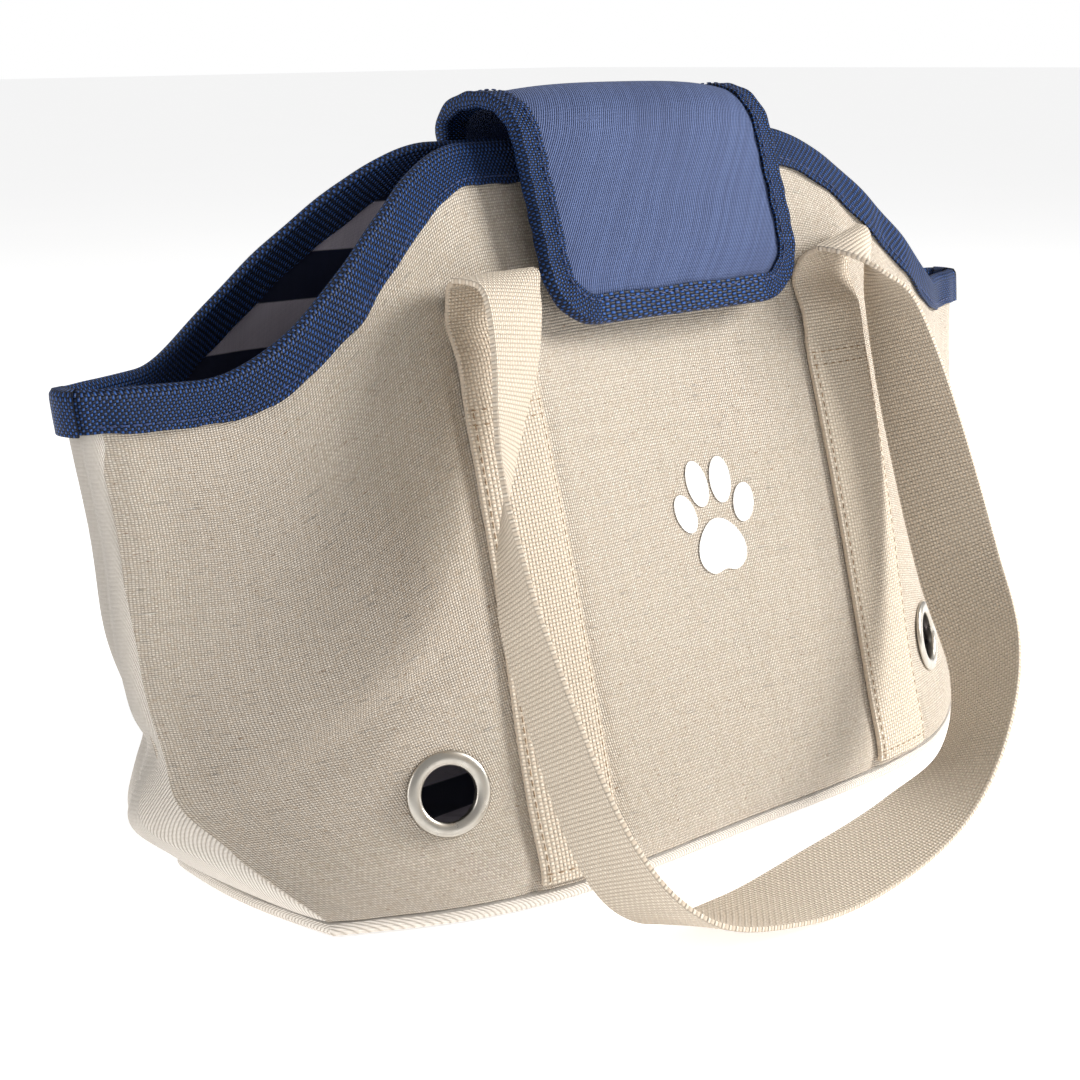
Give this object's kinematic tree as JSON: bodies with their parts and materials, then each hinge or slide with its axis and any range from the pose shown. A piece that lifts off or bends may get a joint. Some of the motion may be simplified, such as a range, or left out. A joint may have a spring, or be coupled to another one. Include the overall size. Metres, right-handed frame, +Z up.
{
  "type": "pet carrier bag",
  "caption": "Soft carrier tote with a boxed base, flared ends, bound curved rim, padded over-the-top flap, metal eyelets and two hanging webbing handles.",
  "frame": {"origin": "centre of the bounding box at the floor, under the middle of the base", "axes": "+X along the bag to its right end, +Z up, -Y towards the front face with the flap"},
  "size_m": [0.5194, 0.3346, 0.2943],
  "materials": {
    "linen": "slubby plain weave",
    "twill": "fine twill",
    "lining": "striped plain weave",
    "webbing": "heavy cotton webbing",
    "binding": "ribbed tape",
    "flap": "fine weave, padded",
    "closure": "hook and loop",
    "cushion": "brushed cotton",
    "board": "plain sheet",
    "nickel": "satin nickel"
  },
  "bodies": {
    "bag": {"front_panel": "linen", "back_panel": "linen", "front_lining": "lining", "back_lining": "lining", "left_gusset": "twill", "right_gusset": "twill", "left_lining": "lining", "right_lining": "lining", "base_panel": "twill", "base_lining": "lining", "base_board": "board", "base_cushion": "cushion", "front_rim_binding": "binding", "back_rim_binding": "binding", "left_rim_binding": "binding", "right_rim_binding": "binding", "front_left_strip": "webbing", "front_right_strip": "webbing", "back_left_strip": "webbing", "back_right_strip": "webbing", "front_left_eyelet": "nickel", "front_left_eyelet_washer": "nickel", "front_right_eyelet": "nickel", "front_right_eyelet_washer": "nickel", "back_left_eyelet": "nickel", "back_left_eyelet_washer": "nickel", "back_right_eyelet": "nickel", "back_right_eyelet_washer": "nickel", "closure_loop_strip": "closure"},
    "flap": {"flap_outer": "flap", "flap_lining": "lining", "flap_binding": "binding", "closure_hook_strip": "closure"},
    "front_handle": {"front_handle_loop": "webbing"},
    "back_handle": {"back_handle_loop": "webbing"}
  },
  "joints": [
    {"name": "flap_hinge", "type": "hinge", "parent": "bag", "child": "flap", "pos_m": [0, 0.017, 0.272], "axis": [-1, 0, 0], "range_deg": [0, 145]},
    {"name": "front_handle_hinge", "type": "hinge", "parent": "bag", "child": "front_handle", "pos_m": [0, -0.044, 0.231], "axis": [-1, 0, 0], "range_deg": [0, 138]},
    {"name": "back_handle_hinge", "type": "hinge", "parent": "bag", "child": "back_handle", "pos_m": [0, 0.044, 0.231], "axis": [1, 0, 0], "range_deg": [0, 138]}
  ]
}
